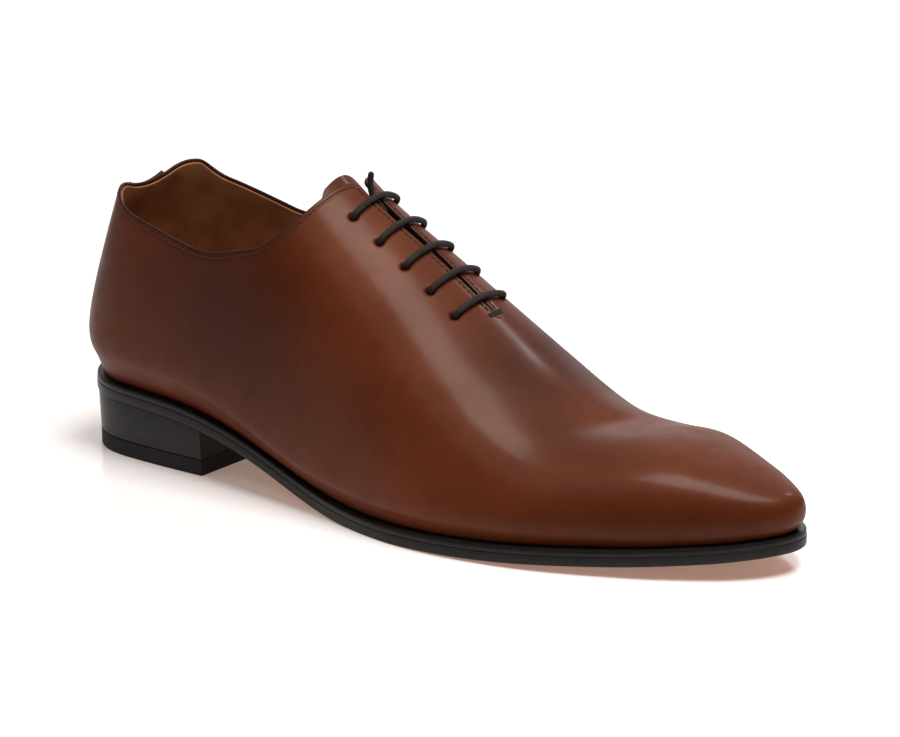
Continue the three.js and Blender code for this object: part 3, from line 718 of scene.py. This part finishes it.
# the seam that closes the shell at the back, from under the heel tab down
def backSeam(points):
    return np.exp(-(points[..., 1] / 0.8) ** 2) * (points[..., 0] < 30)


edgeLine = np.concatenate([rimLines[outer][:throatColumn + 1], rimLines[inner][:throatColumn + 1]])
holeSpots = np.array([lastPoints(side, [t], [[lacing["holeGirth"]]])[0, 0]
                      for side in (outer, inner) for t in lacing["holes"]])


# rings of a shell round the shoe: outside from the feather up, over the edge, and down inside
def shellRings(side, outsideHeight, insideHeight, inset, lowRows, highRows, insideRows, shaped):
    radius = (outsideHeight - insideHeight) / 2
    square, per = squareness(side), perGirth(side)
    shares = np.r_[np.linspace(0, upperSizes["highShare"], lowRows, endpoint=False),
                   np.linspace(upperSizes["highShare"], 1, highRows)]
    low = tops - (inset + radius) / square / per
    low[throatColumn:] = tops[throatColumn:]
    girths = shares[None] * low[:, None]
    points = lastPoints(side, shoeStations, girths)
    normals = lastNormals(side, shoeStations, girths)
    fromEdge = distanceTo(points, edgeLine)
    fromHole = distanceTo(points, holeSpots)
    heights = outsideHeight + creaseHeights(points)
    if shaped:
        # the edge's stitch row pulls a shallow channel, and each punched hole dips
        heights -= 0.22 * np.exp(-((fromEdge - upperSizes["stitchInset"]) / 0.45) ** 2)
        heights -= 1.5 * (1 - smoothStep(fromHole, lacing["holeRadius"] - 0.4, lacing["holeRadius"] + 0.35))
        heights -= 0.3 * backSeam(points)
    outside = points + normals * heights[..., None]
    turns = np.radians([30, 60, 90, 120, 150])
    foldGirths = tops[:, None] - (inset + radius * (1 - np.sin(turns))) / (square * per)[:, None]
    foldGirths[throatColumn:] = tops[throatColumn:, None]
    foldHeights = outsideHeight - radius * (1 - np.cos(turns))
    foldNormals = lastNormals(side, shoeStations, foldGirths)
    fold = lastPoints(side, shoeStations, foldGirths) + foldNormals * foldHeights[None, :, None]
    insideShares = np.linspace(1, 0.03, insideRows)
    insideGirths = insideShares[None] * low[:, None]
    inside = lastPoints(side, shoeStations, insideGirths)
    insideHeights = insideHeight + creaseHeights(inside)
    inside = inside + lastNormals(side, shoeStations, insideGirths) * insideHeights[..., None]
    ring = np.concatenate([outside, fold, inside], axis=1)
    edge = np.concatenate([fromEdge, np.zeros(fold.shape[:2]), np.full(inside.shape[:2], 2.0)], axis=1)
    hole = np.concatenate([fromHole, np.full(fold.shape[:2], 99.0), np.full(inside.shape[:2], 99.0)], axis=1)
    high = np.concatenate([girths, foldGirths, insideGirths], axis=1)
    return ring, edge, hole, high


def makeShell(name, material, outsideHeight, insideHeight, inset, rows, shaped=False):
    parts = [shellRings(side, outsideHeight, insideHeight, inset, *rows, shaped) for side in (outer, inner)]
    count = parts[0][0].shape[1]
    lastOutside = rows[0] + rows[1] - 1
    faces = ringFaces([len(shoeStations)] * 2, count,
                      skip=[(throatColumn, np.arange(lastOutside, lastOutside + 6))])
    points = np.concatenate([part[0].reshape(-1, 3) for part in parts])
    edge, hole, high = (np.concatenate([part[i].ravel() for part in parts]) for i in (1, 2, 3))
    darkEdge = (1 - smoothStep(edge, 0.15, 1.1)) * 0.85
    # painted shade in each punched hole, which is only a dip and not cut through
    paintedHoleShade = (1 - smoothStep(hole, lacing["holeRadius"] - 0.2, lacing["holeRadius"] + 0.5)) * 0.95
    # the shade layer carries the painted shade spots
    shade = paintedShadeAt(points)
    return makePiece(name, points, faces, material,
                     layers={"edge": np.max([darkEdge, paintedHoleShade, 0.7 * backSeam(points)], axis=0),
                             "shade": shade})


calfShell = makeShell("calfUpper", calfLeather, 0, -upperSizes["calfThickness"], 0,
                      (upperSizes["lowRows"], upperSizes["highRows"], 10), shaped=True)
settle(calfShell, "upper_leather", "upper")
liningShell = makeShell("upperLining", liningLeather, -upperSizes["calfThickness"] - upperSizes["liningGap"],
                        -upperSizes["wall"], upperSizes["liningInset"], (20, 12, 24))
settle(liningShell, "lining_leather")
print("the upper is lasted,", len(calfShell.data.polygons), "facets")


# ---- sole pieces
soleSizes = {
    "fit": 0.3,
    "welt": 2,
    "outsole": 3.6,
    "lift": 6,
    "heelLength": 66,
    "ledge": 4,
    "edgeStep": 0.5,
    # welt and outsole are trimmed as one edge, so here they are nearly flush
    "flushStep": 0.12,
    "trimmed": 0.12,
    "heelTaper": 0.8,
    "wall": 2,
    "insole": 2.5,
    "insoleClearance": 0.7,
    "columns": 150,
}


def inwardAt(side, at):
    feet = np.zeros((len(at), 1))
    along = (lastPoints(side, at + 0.02, feet) - lastPoints(side, at - 0.02, feet))[:, 0]
    across = np.stack([-along[:, 1], along[:, 0], np.zeros(len(at))], 1) * -side
    return across / np.linalg.norm(across, axis=1, keepdims=True)


def outline(side, at, distance, height, lift=0):
    points = lastPoints(side, at, np.zeros((len(at), 1)))[:, 0] - inwardAt(side, at) * np.asarray(distance)[..., None]
    points[:, 2] = height(points[:, 0]) + lift
    return points


def soleLedge(at):
    return soleSizes["ledge"] * ledgeShare(at)[:, 0]


def outsoleTop(x):
    return lastBottom(x) - 2 * soleSizes["fit"] - soleSizes["welt"]


def outsoleBottom(x):
    return np.maximum(outsoleTop(x) - soleSizes["outsole"], 0)


# plate from rounded edge profiles: (distance outwards, at the top or the bottom, lift)
def makePlate(name, material, at, distance, top, bottom, corner, footDistance=None, bottomMaterial=None,
              topCorner=None):
    high = corner if topCorner is None else topCorner
    foot = distance if footDistance is None else footDistance
    sides = []
    for side in (outer, inner):
        profile = []
        for angle in np.radians((90, 60, 30, 0)):
            profile.append(outline(side, at, foot - corner * (1 - math.cos(angle)), bottom,
                                   corner * (1 - math.sin(angle))))
        for angle in np.radians((0, 30, 60, 90)):
            profile.append(outline(side, at, distance - high * (1 - math.cos(angle)), top,
                                   -high * (1 - math.sin(angle))))
        sides.append(np.stack(profile, 1))
    lowMiddle = (sides[0][:, 0] + sides[1][:, 0]) / 2
    highMiddle = (sides[0][:, -1] + sides[1][:, -1]) / 2
    rings = [np.concatenate([lowMiddle[:, None], side, highMiddle[:, None]], axis=1) for side in sides]
    count = rings[0].shape[1]
    faces = ringFaces([len(at)] * 2, count, skip=[(0, [count - 1])]).tolist()
    lastColumn = (len(at) - 1) * count
    other = len(at) * count
    for start in (0, lastColumn):
        for k in range(count - 1):
            faces.append((start + k, start + k + 1, other + start + k + 1, other + start + k))
    piece = makePiece(name, np.concatenate([r.reshape(-1, 3) for r in rings]), faces, material)
    if bottomMaterial:
        piece.data.materials.append(bottomMaterial)
        for polygon in piece.data.polygons:
            x = polygon.center.x / mm + heelMiddle
            if abs(polygon.normal.z) > 0.8 and polygon.center.z / mm < (top(x) + bottom(x)) / 2:
                polygon.material_index = 1
    return sharpenEdges(piece, 40)


soleStations = np.linspace(0, toeStation, soleSizes["columns"] * 2)
breast = float(np.interp(soleSizes["heelLength"], feather[:, 0], featherStations))
heelStations = np.linspace(0, breast, soleSizes["columns"])
ledge = soleLedge(soleStations)
heelEdge = soleLedge(heelStations) - soleSizes["edgeStep"]

outsole = makePlate("leatherOutsole", blackEdge, soleStations, ledge, outsoleTop, outsoleBottom, 0.5,
                    bottomMaterial=soleBottom, topCorner=soleSizes["trimmed"])
settle(outsole, "sole_leather", "outsole")
heelBlock = makePlate("stackedHeel", blackEdge, heelStations, heelEdge,
                      lambda x: outsoleBottom(x) - soleSizes["fit"] + 0.2,
                      lambda x: np.full_like(x, soleSizes["lift"] + soleSizes["fit"] - 0.1), 0.25,
                      footDistance=heelEdge - soleSizes["heelTaper"])
settle(heelBlock, "heel_leather", "heel_block")
topLift = makePlate("rubberLift", liftRubber, heelStations, heelEdge - soleSizes["heelTaper"],
                    lambda x: np.full_like(x, soleSizes["lift"]), np.zeros_like, 0.4)
settle(topLift, "lift_rubber", "top_lift")
sock = makePlate("leatherSock", liningLeather, soleStations,
                 np.full(len(soleStations), -soleSizes["wall"] - soleSizes["insoleClearance"]),
                 lambda x: lastBottom(x) + soleSizes["wall"] + soleSizes["fit"] + soleSizes["insole"],
                 lambda x: lastBottom(x) + soleSizes["wall"] + soleSizes["fit"], 0.6)
settle(sock, "lining_leather", "insole")


def makeWelt():
    sides = []

    def top(x):
        return lastBottom(x) - soleSizes["fit"]

    def bottom(x):
        return top(x) - soleSizes["welt"] - soleSizes["fit"] * 0.7

    edge = ledge - soleSizes["flushStep"]
    corners = ((bottom, soleSizes["trimmed"], 1, (90, 45, 0)), (top, 0.6, -1, (0, 45, 90)))
    for side in (outer, inner):
        profile = [outline(side, soleStations, np.full(len(soleStations), -9.0), bottom)]
        for height, corner, up, turns in corners:
            for angle in np.radians(turns):
                profile.append(outline(side, soleStations, edge - corner * (1 - math.cos(angle)), height,
                                       up * corner * (1 - math.sin(angle))))
        profile.append(outline(side, soleStations, np.full(len(soleStations), -9.0), top))
        sides.append(np.stack(profile, 1))
    count = sides[0].shape[1]
    faces = ringFaces([len(soleStations)] * 2, count)
    return makePiece("leatherWelt", np.concatenate([s.reshape(-1, 3) for s in sides]), faces, blackEdge)


welt = sharpenEdges(makeWelt(), 40)
settle(welt, "welt_leather", "welt")
print("the sole is built")


# ---- tongue and heel tab
tongueSizes = {
    "thickness": 1.6,
    "depth": runDepth + lacing["radius"] + 0.3,
    "shallow": 2.3,
    # station, half width in girth, how far down it lies
    "strip": ((5.72, 0.62, 1), (5.78, 0.84, 1), (5.92, 0.98, 1), (6.4, 1, 1), (7, 0.98, 1),
              (7.6, 0.92, 1), (8.1, 0.86, 0.9), (8.35, 0.82, 0.4), (8.6, 0.76, 0), (8.85, 0.6, 0)),
}


def slab(name, high, low, material, layers=None):
    columns, rows = high.shape[:2]
    points = np.concatenate([high.reshape(-1, 3), low.reshape(-1, 3)])
    half = columns * rows
    faces = []
    for c in range(columns - 1):
        for r in range(rows - 1):
            a, b, d, e = c * rows + r, (c + 1) * rows + r, (c + 1) * rows + r + 1, c * rows + r + 1
            faces += [(a, b, d, e), (half + e, half + d, half + b, half + a)]
    border = ([c * rows for c in range(columns)]
              + [(columns - 1) * rows + r for r in range(1, rows)]
              + [c * rows + rows - 1 for c in range(columns - 2, -1, -1)]
              + [r for r in range(rows - 2, 0, -1)])
    for a, b in zip(border, border[1:] + border[:1]):
        faces.append((a, b, half + b, half + a))
    # unless given other layers, the piece is darkened evenly by 0.4 of painted shade, for the tongue that lies in
    # shade under the laces
    return makePiece(name, points, faces, material, layers=layers or {
        "edge": np.zeros(len(points)), "shade": np.full(len(points), 0.4)})


def surfaceSheet(places, heights):
    sheet = np.zeros(heights.shape + (3,))
    for c, row in enumerate(places):
        for r, (side, station, girth) in enumerate(row):
            sheet[c, r] = offLast(side, station, girth, heights[c, r])
    return sheet


def makeTongue(sizes):
    strip = np.array(sizes["strip"])
    fine = np.linspace(0, len(strip) - 1, 60)
    station, half, sink = (np.interp(fine, np.arange(len(strip)), strip[:, k]) for k in range(3))
    shares = np.linspace(-1, 1, 33)
    places = [[(inner if share > 0 else outer, s, ridgeGirth - abs(share) * h) for share in shares]
              for s, h in zip(station, half)]
    depth = sizes["shallow"] + (sizes["depth"] - sizes["shallow"]) * sink
    high = surfaceSheet(places, -np.repeat(depth[:, None], len(shares), 1))
    low = surfaceSheet(places, -np.repeat(depth[:, None], len(shares), 1) - sizes["thickness"])
    return slab("calfTongue", high, low, calfLeather)


tongue = makeTongue(tongueSizes)
settle(sharpenEdges(tongue, 50), "tongue_leather", "tongue")

tabSizes = {
    "thickness": 1,
    "length": 24,
    "gap": 0.3,
    "rows": ((1, 0.3), (0.92, 0.44), (0.6, 0.5), (0.3, 0.6), (0, 0.75)),
}


def makeHeelTab(sizes):
    topRow = rimGirth(0) - 0.04
    one, other = lastPoints(outer, [0], [[topRow, topRow - 1]])[0]
    per = np.linalg.norm(one - other)
    rows = np.array(sizes["rows"])
    down = np.linspace(1, 0, 33)
    half = np.interp(-down, -rows[:, 0], rows[:, 1])
    places = [[(inner if share > 0 else outer, abs(share) * h, topRow - d * sizes["length"] / per)
               for d, h in zip(down, half)] for share in np.linspace(1, -1, 25)]
    shape = (25, 33)
    high = surfaceSheet(places, np.full(shape, sizes["gap"] + sizes["thickness"]))
    low = surfaceSheet(places, np.full(shape, sizes["gap"] - 0.25))
    return slab("heelTab", high, low, calfLeather,
                layers={"edge": np.zeros(2 * 25 * 33), "shade": np.full(2 * 25 * 33, 0.8)})


heelTab = makeHeelTab(tabSizes)
settle(sharpenEdges(heelTab, 50), "tab_leather", "heel_tab")
print("the tongue and the heel tab are in")


# ---- stitches, laid along a way by Geometry Nodes
stitchSizes = {
    "length": 1.75,
    "width": 0.5,
    "spacing": 2.25,
    "height": 0.02,
}


def stitchTree(name, material):
    tree = bpy.data.node_groups.new(name, "GeometryNodeTree")
    tree.interface.new_socket("Way", in_out="INPUT", socket_type="NodeSocketGeometry")
    for socket in ("Spacing", "Length", "Width"):
        tree.interface.new_socket(socket, in_out="INPUT", socket_type="NodeSocketFloat")
    tree.interface.new_socket("Stitches", in_out="OUTPUT", socket_type="NodeSocketGeometry")
    given = addNode(tree, "NodeGroupInput")
    toCurve = addNode(tree, "GeometryNodeMeshToCurve", links={"Mesh": given.outputs["Way"]})
    even = addNode(tree, "GeometryNodeResampleCurve", {"mode": "LENGTH"},
                   {"Curve": toCurve.outputs["Curve"], "Length": given.outputs["Spacing"]})
    bead = addNode(tree, "GeometryNodeMeshIcoSphere", {"Radius": 0.5, "Subdivisions": 2})
    tangent = addNode(tree, "GeometryNodeInputTangent")
    turn = addNode(tree, "FunctionNodeAlignRotationToVector", {"axis": "X"},
                   {"Vector": tangent.outputs["Tangent"]})
    size = addNode(tree, "ShaderNodeCombineXYZ", links={
        "X": given.outputs["Length"], "Y": given.outputs["Width"], "Z": given.outputs["Width"]})
    laid = addNode(tree, "GeometryNodeInstanceOnPoints", links={
        "Points": even.outputs["Curve"], "Instance": bead.outputs["Mesh"],
        "Rotation": turn.outputs["Rotation"], "Scale": size.outputs["Vector"]})
    real = addNode(tree, "GeometryNodeRealizeInstances", links={"Geometry": laid.outputs["Instances"]})
    dressed = addNode(tree, "GeometryNodeSetMaterial", {"Material": material},
                      {"Geometry": real.outputs["Geometry"]})
    output = addNode(tree, "NodeGroupOutput", links={"Stitches": dressed.outputs["Geometry"]})
    return tree


sewing = stitchTree("sewnRow", threadNylon)


def sewRows(name, ways, spacing, length, width):
    points = np.concatenate(ways)
    edges, start = [], 0
    for way in ways:
        edges += [(start + i, start + i + 1) for i in range(len(way) - 1)]
        start += len(way)
    mesh = bpy.data.meshes.new(name + "Way")
    mesh.from_pydata(toMetres(points).tolist(), edges, [])
    holder = bpy.data.objects.new(name + "Way", mesh)
    bpy.context.scene.collection.objects.link(holder)
    modifier = holder.modifiers.new("sewn", "NODES")
    modifier.node_group = sewing
    named = {item.name: item.identifier for item in sewing.interface.items_tree if item.in_out == "INPUT"}
    for socket, value in (("Spacing", spacing), ("Length", length), ("Width", width)):
        modifier[named[socket]] = value * mm
    made = bpy.data.meshes.new_from_object(holder.evaluated_get(bpy.context.evaluated_depsgraph_get()))
    bpy.data.objects.remove(holder)
    made.polygons.foreach_set("use_smooth", [True] * len(made.polygons))
    piece = bpy.data.objects.new(name, made)
    bpy.context.scene.collection.objects.link(piece)
    return settle(piece, "upper_leather")


# the row that runs round the topline and down the facings
def edgeWay(side, inset, height):
    upTo = throatColumn - 3
    square, per = squareness(side), perGirth(side)
    girths = tops - inset / square / per
    line = (lastPoints(side, shoeStations, girths[:, None])[:, 0]
            + lastNormals(side, shoeStations, girths[:, None])[:, 0] * height)
    # the row turns the facing's corner in a curve
    line = line[:upTo]
    for _ in range(12):
        line[1:-1] = (line[:-2] + 2 * line[1:-1] + line[2:]) / 4
    return line


edgeStitches = sewRows("edgeStitches",
                       [edgeWay(side, upperSizes["stitchInset"], stitchSizes["height"]) for side in (outer, inner)],
                       stitchSizes["spacing"], stitchSizes["length"], stitchSizes["width"])
tackGirths = np.linspace(-0.16, 0.16, 15)
tack = [np.array([offLast(inner if g > 0 else outer, throatEnd + shift, ridgeGirth - abs(g), 0.15)
                  for g in tackGirths]) for shift in (0.0, 0.022, 0.044)]
barTack = sewRows("barTack", tack, 0.35, 0.9, 0.6)
print("the stitches are sewn")


# ---- studio: white sweep and soft boxes
studio = {
    "floor": "#f4f4f4",
    "floorSize": 12,
    "glow": 0.22,
    "glowColour": "#ffe2d0",
    "world": 0.06,
}


def makeFloor(sizes):
    mesh = bpy.data.meshes.new("paleFloor")
    half = sizes["floorSize"] / 2
    mesh.from_pydata([(-half, -half, 0), (half, -half, 0), (half, half, 0), (-half, half, 0)], [],
                     [(0, 1, 2, 3)])
    material, tree, shader = newFinish("paleSweep", {
        "Base Color": toLinear(sizes["floor"]), "Roughness": 0.18, "Specular IOR Level": 0.5,
        "Emission Color": toLinear(sizes["glowColour"]), "Emission Strength": sizes["glow"]})
    mesh.materials.append(material)
    floor = bpy.data.objects.new("paleFloor", mesh)
    bpy.context.scene.collection.objects.link(floor)


def softBox(name, place, aim, size, power, colour="#ffffff"):
    data = bpy.data.lights.new(name, "AREA")
    data.shape = "RECTANGLE"
    data.size, data.size_y = size
    data.energy = power
    data.color = toLinear(colour)[:3]
    light = bpy.data.objects.new(name, data)
    light.location = place
    light.rotation_euler = (Vector(aim) - Vector(place)).to_track_quat("-Z", "Y").to_euler()
    bpy.context.scene.collection.objects.link(light)


makeFloor(studio)
world = bpy.data.worlds.new("paleRoom")
world.use_nodes = True
world.node_tree.nodes["Background"].inputs["Color"].default_value = (1, 1, 1, 1)
world.node_tree.nodes["Background"].inputs["Strength"].default_value = studio["world"]
bpy.context.scene.world = world
softBox("topBox", (0.46, 0.04, 1.5), (0.12, 0.04, 0.05), (0.72, 0.95), 27)
softBox("leftBox", (-1.3, -0.5, 0.5), (0.0, 0, 0.05), (0.5, 0.8), 1)
softBox("frontBox", (-0.15, -0.8, 1.35), (0.2, 0, 0.02), (1.1, 0.6), 2.5)
softBox("backBox", (-0.6, 1.3, 0.85), (0.12, 0, 0.05), (0.5, 0.6), 2)
softBox("backCard", (-1.5, 2.1, 0.7), (0.1, 0, 0.05), (4.6, 1.3), 18)
softBox("glintLamp", (0.31, 1.2, 1.1), (0.26, 0, 0.03), (0.04, 0.04), 1.8)
bpy.context.scene.view_settings.view_transform = "Standard"
print("the studio is lit")
